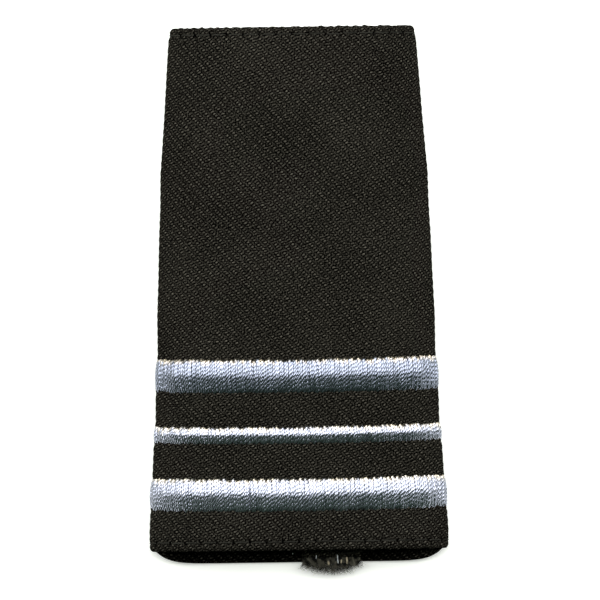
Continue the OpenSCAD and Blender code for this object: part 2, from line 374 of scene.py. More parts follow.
# The wall runs from the outer face at the wide end, round the narrow end's edge, back along the
# inner face and round the wide end's edge, as rows of distance and depth below the outer face. An
# edge is half an ellipse, and the first picks inside it are as finely made as those outside.
edge_r = hem_t / 2
edge_reach = 1.25 * mm
edge_count = 7
edge_turn = np.linspace(np.pi / 2, -np.pi / 2, edge_count + 2)[1:-1]
edge_rows = np.stack([edge_reach * (1 - np.cos(edge_turn)), edge_r * (1 - np.sin(edge_turn))], 1)
outer_count = round((sleeve_len - 2 * edge_reach) / pick_pitch)
outer_distance = np.linspace(edge_reach, sleeve_len - edge_reach, outer_count + 1)
fine_count = 8
coarse_count = 4
hem_fine = edge_reach + pick_pitch * np.arange(0, fine_count)
hem_coarse = np.linspace(hem_fine[-1] + 2 * pick_pitch, hem_depth, coarse_count)
hem_distance = np.concatenate([hem_fine, hem_coarse])
hem_rows = np.stack([hem_distance, np.full(len(hem_distance), hem_t)], 1)
hem_step = 0.3 * mm  # in which the hem's thickness ends
inner_count = 24
inner_distance = np.linspace(hem_depth + hem_step, sleeve_len - hem_depth - hem_step, inner_count)
from_far_end = np.array([sleeve_len, 0])
wall_rows = np.concatenate(
    [
        np.stack([outer_distance, 0 * outer_distance], 1),
        from_far_end + edge_rows * [-1, 1],
        from_far_end + hem_rows * [-1, 1],
        np.stack([inner_distance[::-1], np.full(len(inner_distance), cloth_t)], 1),
        hem_rows[::-1],
        edge_rows[::-1],
    ]
)
wall_distance, wall_depth = (values[:, None] for values in wall_rows.T)
wall_steps = np.hypot(*np.diff(np.concatenate([wall_rows, wall_rows[:1]]), axis=0).T)
wall_picks = np.concatenate([[0], np.cumsum(wall_steps)]) / pick_pitch
outside = wall_depth < edge_r
from_end = np.minimum(wall_distance, sleeve_len - wall_distance)
woven = (wall_depth < cloth_t) | (from_end < hem_fine[-1] + pick_pitch)
half_ends = 138  # ends from the front's middle to the seam
ends = np.arange(-half_ends, half_ends)[None, :]
fold_end = along_sleeve(fold_lengths, wall_distance)
half_girth = along_sleeve(half_girths, wall_distance)
ends_to_fold = fold_end / end_pitch
back_share = (np.abs(ends) - ends_to_fold) / (half_ends - ends_to_fold)
around_back = fold_end + (half_girth - fold_end) * back_share
around = np.where(back_share < 0, np.abs(ends) * end_pitch, around_back) * np.where(ends < 0, -1, 1)

# The edges of both ends waver on the front. In a fold the cloth is squeezed thinner than the
# fold's radius, so that its inner face doesn't cross itself. The seam line has no ribs.
waver_full = 5 * mm  # this and the next are measured back from the fold's end
waver_gone = 3 * mm
waver_reach = 1.0 * mm  # along the sleeve
squeezed_t = 0.9 * fold_r
squeezed_to = 2.2 * mm  # this and the next are measured from the fold's middle
squeezed_past = 5 * mm
rib_sink = 0.2
rib_chance = 0.14
seam_bare = 0.3 * mm
seam_ribbed = 0.9 * mm
on_front = 1 - faded(np.abs(around), fold_end - waver_full, fold_end - waver_gone)
edge_waver = edge_waver_h * on_front * waves(around, 0, edge_waves)
at_wide_end = np.exp(-wall_distance / waver_reach)
at_narrow_end = np.exp((wall_distance - sleeve_len) / waver_reach)
distance = wall_distance + edge_waver * (at_wide_end - at_narrow_end)
from_fold_middle = np.abs(np.abs(around) - (fold_end - fold_r * np.pi / 2))
in_fold = 1 - faded(from_fold_middle, squeezed_to, squeezed_past)
depth = np.minimum(wall_depth, hem_t - (hem_t - squeezed_t) * in_fold)
rib_phase = 2 * np.pi * (ends + np.round(wall_picks[:-1, None])) / rib_ends
rib = 0.5 * np.cos(rib_phase) - rib_sink + random.uniform(-rib_chance, rib_chance, rib_phase.shape)
at_seam = 1 - faded(half_girth - np.abs(around), seam_bare, seam_ribbed)
relief = rib_h * rib * woven * (1 - at_seam) * np.where(wall_depth > edge_r, -1, 1)

# Lockstitches hold the hems, and each row of them pulls a shallow trough into the cloth, with a
# pit where a stitch dives in. The edges of the stripes pull it down too.
stitch_lines = {"wide_hem": 1.7 * mm, "narrow_hem": sleeve_len - 1.45 * mm}
stitch_pitch = 3.2 * mm
trough_depth = 0.45 * mm
stripe_trough_depth = 0.1 * mm
trough_w = 0.42 * mm
trough_share = 0.3  # of its depth, halfway between two pits
pit_power = 6
pit = (0.5 + 0.5 * np.cos(2 * np.pi * around / stitch_pitch)) ** pit_power
pull = trough_share + (1 - trough_share) * pit
for line in stitch_lines.values():
    relief = relief - trough_depth * pull * np.exp(-(((distance - line) / trough_w) ** 2)) * outside
for middle, width, _, _ in stripe_rows.values():
    from_edge = np.abs(np.abs(distance - middle) - width / 2)
    relief = relief - stripe_trough_depth * np.exp(-((from_edge / trough_w) ** 2)) * outside

sleeve_points, _ = on_sleeve(around, distance, relief + cloth_lift(around, distance) - depth)
sleeve_points[..., 2] = np.maximum(sleeve_points[..., 2], 0)
row_count, column_count = around.shape
row, column = np.meshgrid(np.arange(row_count), np.arange(column_count), indexing="ij")
corner_rows = [0, 0, 1, 1]
corner_columns = [0, 1, 1, 0]
square_rows = row[..., None] + corner_rows
square_ends = column[..., None] + corner_columns
square_picks = wall_picks[square_rows]
squares = square_rows % row_count * column_count + square_ends % column_count
square_maps = {
    "weave": np.stack([square_ends - half_ends, square_picks], -1),
    "OFBake": np.stack([square_ends / column_count, square_picks / wall_picks[-1]], -1),
}
# Each square is cut along the rib, between its two corners of equal height.
halves = [0, 1, 3, 1, 2, 3]
triangles = squares.reshape(-1, 4)[:, halves].reshape(-1, 3)
triangle_maps = {
    name: corners.reshape(-1, 4, 2)[:, halves].reshape(-1, 3, 2) for name, corners in square_maps.items()
}
sleeve_mesh = new_mesh("sleeve_cloth", sleeve_points.reshape(-1, 3), triangles, triangle_maps)


def calc(tree, operation, *values):
    """The result of one maths node."""
    return add_node(tree, "ShaderNodeMath", *values, operation=operation).outputs[0]


def calc_vector(tree, operation, *values):
    """The result of one vector maths node."""
    return add_node(tree, "ShaderNodeVectorMath", *values, operation=operation).outputs[0]


# Waves that make up the weave's relief: turns for each pick, turns for each rib, and strength
weave_waves = [(0, 1, 0.9), (0, 2, 1.0), (1, 0, 0.95), (1, -1, 1.8), (1, -2, 1.75), (1, -3, 1.0)]
drift_scale = 0.38  # of the noise that bends the yarns
drift_reach = 0.85  # ends and picks
# Painted shade: how much darker the cloth is inside the sleeve and in the stitch holes
inside_shade = 0.05
hole_shade = 0.09
hole_reach = 1.6  # picks
# Painted highlight of a float: what all have, what chance adds, and what is lost towards its top
float_light = 0.165
chance_light = 0.11
crest_light_loss = 0.13
fuzz_scale = 1.5
fuzz_light = 0.52
broad_scale = 0.03
broad_light = 0.05
dark_level = 0.218
least_light = 0.005
light_power = 1.45


def twill(name, tint, bead_h, inside=(0, 0), holes=()):
    """A material for twill, drawn on the map of ends and picks.

    A float of yarn stands up where end and pick add up to a multiple of four, and noise makes the
    yarns drift a little. The relief is the sum of a few cosines that are all 1 there. The colour is
    painted light and shade drawn from that relief: a painted highlight on each float and painted
    shade between the floats. Brightness is the relief times a float's light, plus fuzz and a broad
    unevenness, less a dark level, and is raised to the power 1.45. A float's light differs by
    chance, and falls as the relief rises. From one pick to the other of inside, painted shade makes
    the cloth darker, and painted shade darkens it in the stitch holes along the picks named in holes."""
    material, tree, shader = new_material(name, tint, Roughness=0.8, Specular_IOR_Level=0.0)
    place = add_node(tree, "ShaderNodeUVMap", uv_map="weave").outputs[0]
    end, pick, _ = add_node(tree, "ShaderNodeSeparateXYZ", place).outputs
    stitch_turns = calc(tree, "MULTIPLY", end, 2 * np.pi * end_pitch / stitch_pitch)
    # Painted shade inside the sleeve and in the stitch holes
    shade = calc(tree, "COMPARE", pick, sum(inside) / 2, (inside[1] - inside[0]) / 2)
    shade = calc(tree, "MULTIPLY", shade, inside_shade)
    for hole in holes:
        off_line = calc(tree, "ABSOLUTE", calc(tree, "SUBTRACT", pick, hole))
        near = calc(tree, "MAXIMUM", calc(tree, "MULTIPLY_ADD", off_line, -1 / hole_reach, 1.0), 0.0)
        deep = calc(tree, "MAXIMUM", calc(tree, "COSINE", stitch_turns), 0.0)
        deep = calc(tree, "MULTIPLY", near, calc(tree, "POWER", deep, pit_power))
        shade = calc(tree, "MULTIPLY_ADD", deep, hole_shade, shade)

    drift = noise(tree, place, drift_scale, output="Color")
    drift = calc_vector(tree, "SUBTRACT", drift, (0.5, 0.5, 0.5))
    drift = calc_vector(tree, "MULTIPLY", drift, (drift_reach, drift_reach, 0))
    place = calc_vector(tree, "ADD", place, drift)
    end, pick, _ = add_node(tree, "ShaderNodeSeparateXYZ", place).outputs
    rib = calc(tree, "DIVIDE", calc(tree, "ADD", end, pick), rib_ends)
    relief = 0.0
    strengths = sum(strength for _, _, strength in weave_waves)
    for by_pick, by_rib, strength in weave_waves:
        turns = calc(tree, "MULTIPLY_ADD", pick, by_pick, calc(tree, "MULTIPLY", rib, by_rib))
        wave = calc(tree, "COSINE", calc(tree, "MULTIPLY", turns, 2 * np.pi))
        relief = calc(tree, "MULTIPLY_ADD", wave, strength / strengths, relief)

    cell = add_node(tree, "ShaderNodeCombineXYZ", calc(tree, "ROUND", rib), calc(tree, "ROUND", pick))
    chance = add_node(tree, "ShaderNodeTexWhiteNoise", cell.outputs[0], noise_dimensions="2D")
    light = calc(tree, "MULTIPLY_ADD", chance.outputs["Value"], chance_light, float_light)
    # Painted highlight: the float's light falls towards its crest
    light = calc(tree, "MULTIPLY_ADD", relief, -crest_light_loss, light)
    fuzz = calc(tree, "MULTIPLY", noise(tree, place, fuzz_scale), fuzz_light)
    lit = calc(tree, "MULTIPLY_ADD", relief, light, fuzz)
    lit = calc(tree, "MULTIPLY_ADD", noise(tree, place, broad_scale, 1), broad_light, lit)
    lit = calc(tree, "SUBTRACT", lit, calc(tree, "ADD", shade, dark_level))
    lit = calc(tree, "POWER", calc(tree, "MAXIMUM", lit, least_light), light_power)
    colour = calc_vector(tree, "SCALE", tint, None, None, lit)
    tree.links.new(colour, shader.inputs["Base Color"])
    bump(tree, shader, relief, bead_h)
    return material


# Picks that bound the sleeve's inside and the stitch lines, where the twill gets painted shade
inside_picks = (wall_picks[len(outer_distance) + edge_count // 2], wall_picks[-1 - edge_count // 2])
line_picks = [(line - edge_reach) / pick_pitch for line in stitch_lines.values()]
black_twill = twill("black_twill", (0.6, 0.55, 0.445), 0.1 * mm, inside_picks, line_picks)
sleeve = add_object("sleeve_cloth", sleeve_mesh, black_twill)
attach(sleeve, "root")
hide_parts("sleeve")


# Hem stitches. A row of black lockstitch near each end goes round the sleeve. Each stitch is a
# short length of thread that comes up out of the cloth and dives back in.
def unit(vectors):
    """Vectors scaled to length 1."""
    return vectors / np.maximum(np.linalg.norm(vectors, axis=-1, keepdims=True), 1e-12)


# Shares of a body's strip in the baking map: free at its sides, and kept for the lids at its ends
strip_margin = 0.05
lid_room = 0.02
lid_middle = 0.009
lid_reach = np.array([0.4, 0.008])


def stacked_rings(points):
    """Closed bodies from rings: flat points, four-cornered faces and maps.

    points is bodies by rings by sides by 3, and each ring runs anticlockwise about the way
    forward. The ends are filled with squares between one half of the ring and the other. The map
    thread holds turns round a body and millimetres along it. In the baking map each body has a
    strip, with its wall unrolled between two round lids."""
    bodies, rings, sides, _ = points.shape
    body, ring, side = np.meshgrid(np.arange(bodies), np.arange(rings - 1), np.arange(sides), indexing="ij")
    ring_at = ring[..., None] + corner_rows
    side_at = side[..., None] + corner_columns
    body_at = body[..., None] + 0 * ring_at
    walls = (body_at * rings + ring_at) * sides + side_at % sides
    half = np.arange(sides // 2 - 1)
    lid = np.stack([half, half + 1, sides - 2 - half, sides - 1 - half], 1)
    first = np.arange(bodies)[:, None, None] * rings * sides
    lids = np.concatenate([first + lid[:, ::-1], first + (rings - 1) * sides + lid], 1)
    faces = np.concatenate([walls.reshape(-1, 4), lids.reshape(-1, 4)])

    run = np.linalg.norm(np.diff(points.mean(2), axis=1), axis=-1)
    run = np.pad(np.cumsum(run, 1), ((0, 0), (1, 0))) / mm
    wall_u = strip_margin + (1 - 2 * strip_margin) * side_at / sides
    wall_v = lid_room + (1 - 2 * lid_room) * ring_at / (rings - 1)
    lid_side = np.concatenate([lid[:, ::-1], lid])
    lid_turn = 2 * np.pi * (lid_side + 0.5) / sides
    at_end = np.repeat([0, 1], len(lid))[:, None] + 0 * lid_side
    lid_body = np.arange(bodies)[:, None, None] + 0 * lid_side
    lid_u = 0.5 + lid_reach[0] * np.cos(lid_turn)
    lid_v = lid_middle + (1 - 2 * lid_middle) * at_end + lid_reach[1] * np.sin(lid_turn)
    thread_maps = (
        np.stack([side_at / sides + body_at, run[body_at, ring_at]], -1),
        np.stack([lid_side / sides + lid_body, at_end * run[:, -1, None, None]], -1),
    )
    baking_maps = (
        np.stack([(body_at + wall_u) / bodies, wall_v], -1),
        np.stack([(lid_body + lid_u) / bodies, lid_v + 0 * lid_body], -1),
    )
    maps = {
        "thread": np.concatenate([corners.reshape(-1, 4, 2) for corners in thread_maps]),
        "OFBake": np.concatenate([corners.reshape(-1, 4, 2) for corners in baking_maps]),
    }
    return points.reshape(-1, 3), faces, maps


def tubes(centres, over, radii, turn=0.0):
    """Closed tubes along many centre lines at once.

    centres is tubes by stations by 3, over the way up at each station, and radii tubes by
    stations by sides. A ring's point is its centre, plus its radius times the cosine of its angle
    sideways and the sine upwards. turn is added to the angles, and may grow along a tube."""
    forward = unit(np.gradient(centres, axis=1))
    over = unit(over - forward * (over * forward).sum(-1, keepdims=True))
    beside = np.cross(over, forward)
    sides = radii.shape[-1]
    angle = 2 * np.pi * np.arange(sides) / sides + np.broadcast_to(turn, radii.shape[:2])[..., None]
    ring = beside[:, :, None] * np.cos(angle)[..., None] + over[:, :, None] * np.sin(angle)[..., None]
    return stacked_rings(centres[:, :, None] + ring * radii[..., None])


def joined(*parts):
    """One set of points, faces and maps from several, with their baking maps side by side."""
    points, faces, maps = zip(*parts)
    starts = np.cumsum([0] + [len(part) for part in points])
    places = np.cumsum([0] + [len(part) for part in faces]) / sum(len(part) for part in faces)
    faces = [part + start for part, start in zip(faces, starts)]
    baked = [
        part["OFBake"] * [high - low, 1] + [low, 0] for part, low, high in zip(maps, places, places[1:])
    ]
    maps = {"thread": np.concatenate([part["thread"] for part in maps]), "OFBake": np.concatenate(baked)}
    return np.concatenate(points), np.concatenate(faces), maps


def colours(tree, share, *stops):
    """A colour ramp over a share, from stops of place and colour."""
    node = add_node(tree, "ShaderNodeValToRGB", share)
    elements = node.color_ramp.elements
    while len(elements) < len(stops):
        elements.new(0.5)
    for element, (place, colour) in zip(elements, stops):
        element.position = place
        element.color = (*colour, 1)
    return node.outputs[0]


fibre_run = 1.1  # scale of the fibres' noise along the thread, whose map is in millimetres
shade_scales = (0.8, 0.25, 1)  # of a broader noise, round and along it
shade_part = 0.9
fibre_part = 0.6
clump_part = 3.4
clump_base = -1.75
dark_at = 0.4
light_at = 0.95
tip_len = 1.4  # millimetres
tip_least = -0.3  # share of the tip's fading that a thread begins with, and how much chance adds
tip_chance = 0.8


def yarn(name, dark, light, fibre_scale, fibre_h, tip=None, valley=1.0, clumps=0, **sockets):
    """A material for twisted yarn, drawn on the map round and along the thread.

    Long streaks of noise are its fibres. They set its relief and, with a broader noise, its
    colour. Between its two plies the colour falls by a cosine to a given share of itself: painted
    shade in the gap between the plies. tip is the colour at a thread's start. It fades in
    proportion over tip_len, from a strength that differs from thread to thread. clumps is the
    scale of a noise in space that shades whole bunches."""
    material, tree, shader = new_material(name, dark, **sockets)
    place = add_node(tree, "ShaderNodeUVMap", uv_map="thread").outputs[0]
    streaks = noise(tree, calc_vector(tree, "MULTIPLY", place, (fibre_scale, fibre_run, 1)), 1)
    shades = noise(tree, calc_vector(tree, "MULTIPLY", place, shade_scales), 1, 1)
    share = calc(tree, "MULTIPLY_ADD", shades, shade_part, calc(tree, "MULTIPLY", streaks, fibre_part))
    if clumps:
        bunch = noise(tree, add_node(tree, "ShaderNodeTexCoord").outputs["Object"], clumps, 1)
        share = calc(tree, "ADD", share, calc(tree, "MULTIPLY_ADD", bunch, clump_part, clump_base))
    colour = colours(tree, share, (dark_at, dark), (light_at, light))
    turns, along, _ = add_node(tree, "ShaderNodeSeparateXYZ", place).outputs
    if tip:
        number = calc(tree, "FLOOR", turns)
        chance = add_node(tree, "ShaderNodeTexWhiteNoise", None, number, noise_dimensions="1D")
        off_tip = calc(tree, "MULTIPLY_ADD", chance.outputs["Value"], tip_chance, tip_least)
        blend = add_node(tree, "ShaderNodeMix", data_type="RGBA")
        tree.links.new(calc(tree, "MULTIPLY_ADD", along, 1 / tip_len, off_tip), blend.inputs[0])
        blend.inputs[6].default_value = (*tip, 1)
        tree.links.new(colour, blend.inputs[7])
        colour = blend.outputs[2]
    # Painted shade between the plies: the colour darkens where they meet
    if valley < 1:
        on_ply = calc(tree, "COSINE", calc(tree, "MULTIPLY", turns, 4 * np.pi))
        kept = calc(tree, "MULTIPLY_ADD", on_ply, (1 - valley) / 2, (1 + valley) / 2)
        colour = calc_vector(tree, "SCALE", colour, None, None, kept)
    tree.links.new(colour, shader.inputs["Base Color"])
    bump(tree, shader, streaks, fibre_h)
    return material


def sew_on(name, parts, material, node=None):
    """Makes a piece from points, faces and maps, and fixes it to the cloth.

    What would lie below the table is flattened onto it."""
    parts[0][:, 2] = np.maximum(parts[0][:, 2], 0)
    piece = add_object(name, new_mesh(name, *parts), material)
    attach(piece, "root")
    if node:
        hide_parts(node)


stitch_len = 2.7 * mm
stitch_r = 0.15 * mm
stitch_sides = 8
stitch_twists = 2.5
stitch_sink = 0.33 * mm
stitch_rise = 0.2 * mm
stitch_shift = 0.06 * mm  # spread of the stitches' places along their row
stitch_stray = 0.04 * mm  # and across it
seam_clearance = 1.5 * mm
dull_looks = {"Roughness": 0.7, "Specular_IOR_Level": 0.05}
black_thread = yarn(
    "black_thread", (0.004, 0.004, 0.003), (0.024, 0.023, 0.019), 5, 0.02 * mm, **dull_looks
)
stitch_share = np.linspace(0, 1, 11)


def stitch_row(line):
    """Centre lines of a row of stitches round the sleeve, and the ways up along them.

    Each stitch comes out of the cloth and dives again by half a sine raised to the power 0.8."""
    reach = along_sleeve(half_girths, line) - seam_clearance
    count = int(2 * reach / stitch_pitch)
    starts = (np.arange(count) - count // 2) * stitch_pitch + (stitch_pitch - stitch_len) / 2
    starts = starts + random.normal(0, stitch_shift, count)
    run = starts[:, None] + stitch_len * stitch_share
    place = line + random.normal(0, stitch_stray, count)[:, None] + 0 * run
    rise = stitch_rise * np.sin(np.pi * stitch_share) ** 0.8 - stitch_sink
    return on_sleeve(run, place, rise + cloth_lift(run, place))


stitch_rows = [stitch_row(line) for line in stitch_lines.values()]
stitch_centres, stitch_over = (np.concatenate(values) for values in zip(*stitch_rows))
stitch_radii = np.full((*stitch_centres.shape[:2], stitch_sides), stitch_r)
stitch_twist = 2 * np.pi * stitch_share * stitch_twists
sew_on("hem_stitches", tubes(stitch_centres, stitch_over, stitch_radii, stitch_twist), black_thread)

# Stripes. Each is a band of silver-grey satin stitch over a padding, across the front, round both
# folds and a little onto the back. Its two-ply threads lie side by side along the sleeve, and each
# comes up out of the cloth at the band's upper edge and dives in at its lower one.
thread_pitch = 0.45 * mm
thread_r = 0.28 * mm
thread_flatness = 2.5  # width of a thread by its height
ply_turn = 1.62 * mm  # length of thread in which its two plies go once round each other
stripe_wrap = 5 * mm  # onto the back, past the fold
stripe_bow = 0.4 * mm
stripe_ease = 4 * mm  # before the fold, over which a stripe gets lower
fold_share = 0.45  # of a stripe's height that is left on the fold
end_share = 0.2  # and at its end on the back
thread_looks = {
    "fibre_scale": 7,
    "fibre_h": 0.03 * mm,
    # share of colour kept in the painted shade between the plies
    "valley": 0.42,
    "Roughness": 0.27,
    "Metallic": 0.98,
    "Specular_IOR_Level": 0.4,
}
silver_thread = yarn(
    "silver_thread", (0.3, 0.325, 0.395), (0.575, 0.59, 0.71), tip=(0.85, 0.74, 0.58), **thread_looks
)
# The upper stripe's thread is the silver thread with painted shade: the same thread in darker colours
shaded_silver_thread = yarn(
    "shaded_silver_thread", (0.225, 0.25, 0.3), (0.39, 0.415, 0.53), tip=(0.84, 0.7, 0.52), **thread_looks
)
stripe_threads = {
    "stripe_lower": silver_thread,
    "stripe_middle": silver_thread,
    "stripe_upper": shaded_silver_thread,
}


def stripe_share(around, distance):
    """Share of a stripe's height along its route: full on the front, falling evenly to fold_share
    before the fold, and falling evenly to end_share past it."""
    to_fold = along_sleeve(front_lengths, distance) - np.abs(around)
    past_fold = np.abs(around) - along_sleeve(fold_lengths, distance)
    front = fold_share + (1 - fold_share) * np.clip(to_fold / stripe_ease, 0, 1)
    return front - (fold_share - end_share) * np.clip(past_fold / stripe_wrap, 0, 1)


def bow_at(around, distance):
    """How far a stripe's route bends towards the narrow end: by the square of the share of the front."""
    return stripe_bow * np.minimum(1, np.abs(around) / along_sleeve(front_lengths, distance)) ** 2


ridge_shift = 0.06  # towards the narrow end
ridge_softness = 0.17
slope_power = 1.12
lower_eaves = 0.28


def gable(share, upper_eaves):
    """Height across a stripe, from 1 to 0: a roof with even slopes, a soft ridge and steep eaves.

    The ridge lies a little towards the narrow end. The slopes fall by a hyperbola raised to the
    power 1.12, to upper_eaves and lower_eaves of the full height, and there the eaves fall by the
    root of 1 less the share's twelfth power."""
    from_ridge = share - ridge_shift
    fall = np.hypot(from_ridge, ridge_softness) - ridge_softness
    fall = fall / (math.hypot(1, ridge_softness) - ridge_softness)
    eaves = np.sqrt(np.maximum(0, 1 - share**12))
    return (1 - (1 - np.where(from_ridge > 0, upper_eaves, lower_eaves)) * fall**slope_power) * eaves


upper_ragged = (-0.25 * mm, 0.2 * mm)  # how far threads may end past the stripe's upper edge
lower_ragged = (0.05 * mm, 0.35 * mm)  # and past its lower one
stitch_slant = 0.05 * mm
thread_shift = 0.035 * mm  # spread of the threads' places and of their heights
thread_r_spread = 0.05
ply_turn_spread = 0.1
ply_bulge = 0.13
end_dip = 0.6  # radii by which a thread's ends lie deeper than its middle
thread_sides = 8


def satin_stitches(middle, width, ridge, upper_eaves, stations):
    """A stripe's threads, as two-lobed tubes.

    Across the stripe a thread's top follows the gable, and its ends dip below the cloth. A
    thread's section is an ellipse whose radius also grows and shrinks twice round it. That
    pattern turns as the plies do, from a start and with a length of turn that differ from
    thread to thread. The stations are spaced 0.45 evenly and 0.55 as a sine's values are."""
    reach = along_sleeve(fold_lengths, middle) + stripe_wrap
    count = 2 * int(reach / thread_pitch) + 1
    number = np.arange(count)[:, None] - count // 2
    turn = np.linspace(np.pi / 2, -np.pi / 2, stations)[None, :]
    share = 0.55 * np.sin(turn) + 0.45 * turn / (np.pi / 2)
    upper = random.uniform(*upper_ragged, (count, 1))
    lower = random.uniform(*lower_ragged, (count, 1))
    slant = stitch_slant * np.where(number % 2, 1, -1) * share
    run = number * thread_pitch + slant + random.normal(0, thread_shift, (count, 1))
    place = middle + share * (width / 2 + np.where(share > 0, upper, lower))
    place = place + bow_at(run, place)
    height = ridge * stripe_share(run, place) + random.normal(0, thread_shift, (count, 1))
    rise = height * gable(share, upper_eaves) - thread_r * (1 + end_dip * share**8)
    centres, over = on_sleeve(run, place, rise + cloth_lift(run, place))
    size = thread_r * random.normal(1, thread_r_spread, (count, 1, 1))
    phase = random.uniform(0, 2 * np.pi, (count, 1))
    turns = (place - middle) / (ply_turn * random.normal(1, ply_turn_spread, (count, 1)))
    twist = phase - 2 * np.pi * turns
    side_turn = 2 * np.pi * np.arange(thread_sides) / thread_sides
    facing = side_turn + twist[..., None]
    ellipse = thread_flatness**0.5 / np.hypot(np.cos(facing), thread_flatness * np.sin(facing))
    lobes = 1 + ply_bulge * np.cos(2 * side_turn)
    return tubes(centres, over, size * ellipse * lobes, twist)


padding_stations = 220
padding_sides = 24
padding_margin = 0.8 * mm
padding_setback = 0.2 * mm
least_padding = 0.05 * mm


def padding(middle, width, ridge):
    """The band under a stripe's threads: a tube along the stripe with an elliptical section.

    It is as high as the stripe's ridge there less two radii of a thread."""
    reach = along_sleeve(fold_lengths, middle) + stripe_wrap - padding_setback
    run = np.linspace(-reach, reach, padding_stations)[None, :]
    place = middle + bow_at(run, middle)
    centres, over = on_sleeve(run, place, cloth_lift(run, place))
    angle = 2 * np.pi * np.arange(padding_sides) / padding_sides
    rise = np.maximum(least_padding, ridge * stripe_share(run, place) - 2 * thread_r)[..., None]
    radii = 1 / np.hypot(np.cos(angle) / (width / 2 - padding_margin), np.sin(angle) / rise)
    return tubes(centres, over, radii)


least_stations = 20
stations_per_mm = 4.2
for name, (middle, width, ridge, upper_eaves) in stripe_rows.items():
    stations = least_stations + round(width / mm * stations_per_mm)
    stitches = satin_stitches(middle, width, ridge, upper_eaves, stations)
    parts = joined(stitches, padding(middle, width, ridge))
    sew_on(name + "_threads", parts, stripe_threads[name], name)

# Seam allowance. The cloth's two edges beyond the back seam lie on each other inside the sleeve,
# pressed to the right. Their free edge is overlocked with black thread.
allowance_w = 11.5 * mm
layer_t = 0.66 * mm
layer_gap = 0.06 * mm
allowance_setback = 1.0 * mm
lift_clearance = 0.05 * mm
brown_twill = twill("brown_twill", (0.6, 0.56, 0.42), 0.08 * mm)
layer_len = sleeve_len - 2 * allowance_setback
woven_len = 12 * mm  # at each end, with a row of points for each pick
plain_start = 12.6 * mm
plain_count = 40
near_ends = np.arange(0, woven_len, pick_pitch)
between = np.linspace(plain_start, layer_len - plain_start, plain_count)
layer_distance = np.concatenate([near_ends, between, (layer_len - near_ends)[::-1]])
layer_distance = layer_distance + allowance_setback
hem_drop_from = hem_depth - 0.3 * mm  # where the layers begin to come down off a hem
hem_drop_to = hem_depth + 0.9 * mm


def inner_back(x, distance, height):
    """Points over the inner face of the back, at a place across and a distance along.

    Its height is the back's rise, by the square of the share past its flat middle, plus the
    wall's thickness there, a clearance and the height."""
    beyond = np.maximum(0, (np.abs(x) / fold_x_at(distance) - back_flat_share) / (1 - back_flat_share))
    to_end = np.minimum(distance, sleeve_len - distance)
    wall = cloth_t + (hem_t - cloth_t) * (1 - faded(to_end, hem_drop_from, hem_drop_to))
    z = back_rise * beyond**2 + wall + lift_clearance + height
    return np.stack([x, wide_y + distance - lip_at(x, distance), z], -1)


# Each layer's height above the back's inner face, and how far its left and right edges are set in.
# Both edges are rounded by the root of 1 less a high power.
layer_places = [(0, 0, 0.15 * mm), (layer_t + layer_gap, 0.1 * mm, 0)]
layer_edge_power = 24
layer_rib_h = 0.1 * mm
layer_columns = np.arange(0, allowance_w, end_pitch)
layer_points = []
for base, left, right in layer_places:
    x = seam_offset + left + layer_columns * (allowance_w - left - right) / layer_columns[-1]
    x, y = np.meshgrid(x, layer_distance)
    rib = 0.5 + 0.5 * np.cos(2 * np.pi * (x / end_pitch + y / pick_pitch) / rib_ends)
    rounded = (1 - np.abs(2 * (x - seam_offset) / allowance_w - 1) ** layer_edge_power) ** 0.5
    top = inner_back(x, y, base + layer_t * (0.5 + 0.5 * rounded) - layer_rib_h * rib)
    bottom = inner_back(x, y, base + layer_t * (0.5 - 0.5 * rounded) + 0 * rib)
    layer_points.append(np.concatenate([top[:, ::-1], bottom], 1))
layers = stacked_rings(np.stack(layer_points))
layers[2]["weave"] = layers[0][layers[1]][..., :2] / [end_pitch, pick_pitch]
sew_on("allowance_layers", layers, brown_twill, "seam_allowance")

# The overlocking's loops go round the edge as a squared-off spiral, and its needle thread runs
# along their inner side and dips once for each loop.
overlock_w = 4.2 * mm
overlock_pitch = 2.2 * mm
overlock_r = 0.13 * mm
overlock_sides = 6
overlock_twist = 0.2  # radians from one station to the next
over_tilt = 0.2  # keeps the way up for a ring apart from the thread's own direction
allowance_t = 2 * layer_t + layer_gap
loop_start = 1.2 * allowance_setback
loop_stations = 18
loop_skew = 0.35  # pitches
loop_past_edge = 0.1 * mm
loop_past_face = 0.05 * mm
out_power = 0.7  # the lower these powers, the squarer the loops
up_power = 0.35
loops = int((sleeve_len - 2 * loop_start) / overlock_pitch)
loop_turn = np.linspace(0, 2 * np.pi * loops, loop_stations * loops + 1)[None, :]
loop_distance = loop_start + loop_turn / (2 * np.pi) * overlock_pitch
loop_distance = loop_distance + loop_skew * overlock_pitch * np.cos(loop_turn)
loop_out = np.sign(np.cos(loop_turn)) * np.abs(np.cos(loop_turn)) ** out_power
loop_x = seam_offset + allowance_w + loop_past_edge + overlock_w / 2 * (loop_out - 1)
loop_up = np.sign(np.sin(loop_turn)) * np.abs(np.sin(loop_turn)) ** up_power
loop_z = allowance_t / 2 + (allowance_t / 2 + loop_past_face) * loop_up
loop_z = np.maximum(loop_z, overlock_r)
loop_centres = inner_back(loop_x, loop_distance, loop_z)
needle_start = 1.3 * allowance_setback
needle_step = 0.3 * mm
needle_dip = 0.16 * mm
needle_sink = 0.06 * mm
needle_distance = np.arange(needle_start, sleeve_len - needle_start, needle_step)[None, :]
needle_x = seam_offset + allowance_w - overlock_w + 0 * needle_distance
needle_wave = needle_dip * np.abs(np.sin(np.pi * needle_distance / overlock_pitch)) ** 0.5
needle_centres = inner_back(needle_x, needle_distance, allowance_t - needle_sink + needle_wave)
upward = np.array([0.0, 0.0, 1.0])
overlock_parts = [
    tubes(
        centres,
        upward + over_tilt * unit(np.gradient(centres, axis=1))[..., [1, 0, 2]],
        np.full((*centres.shape[:2], overlock_sides), overlock_r),
        np.arange(centres.shape[1])[None, :] * overlock_twist,
    )
    for centres in (loop_centres, needle_centres)
]
sew_on("overlock_thread", joined(*overlock_parts), black_thread, "seam_allowance")

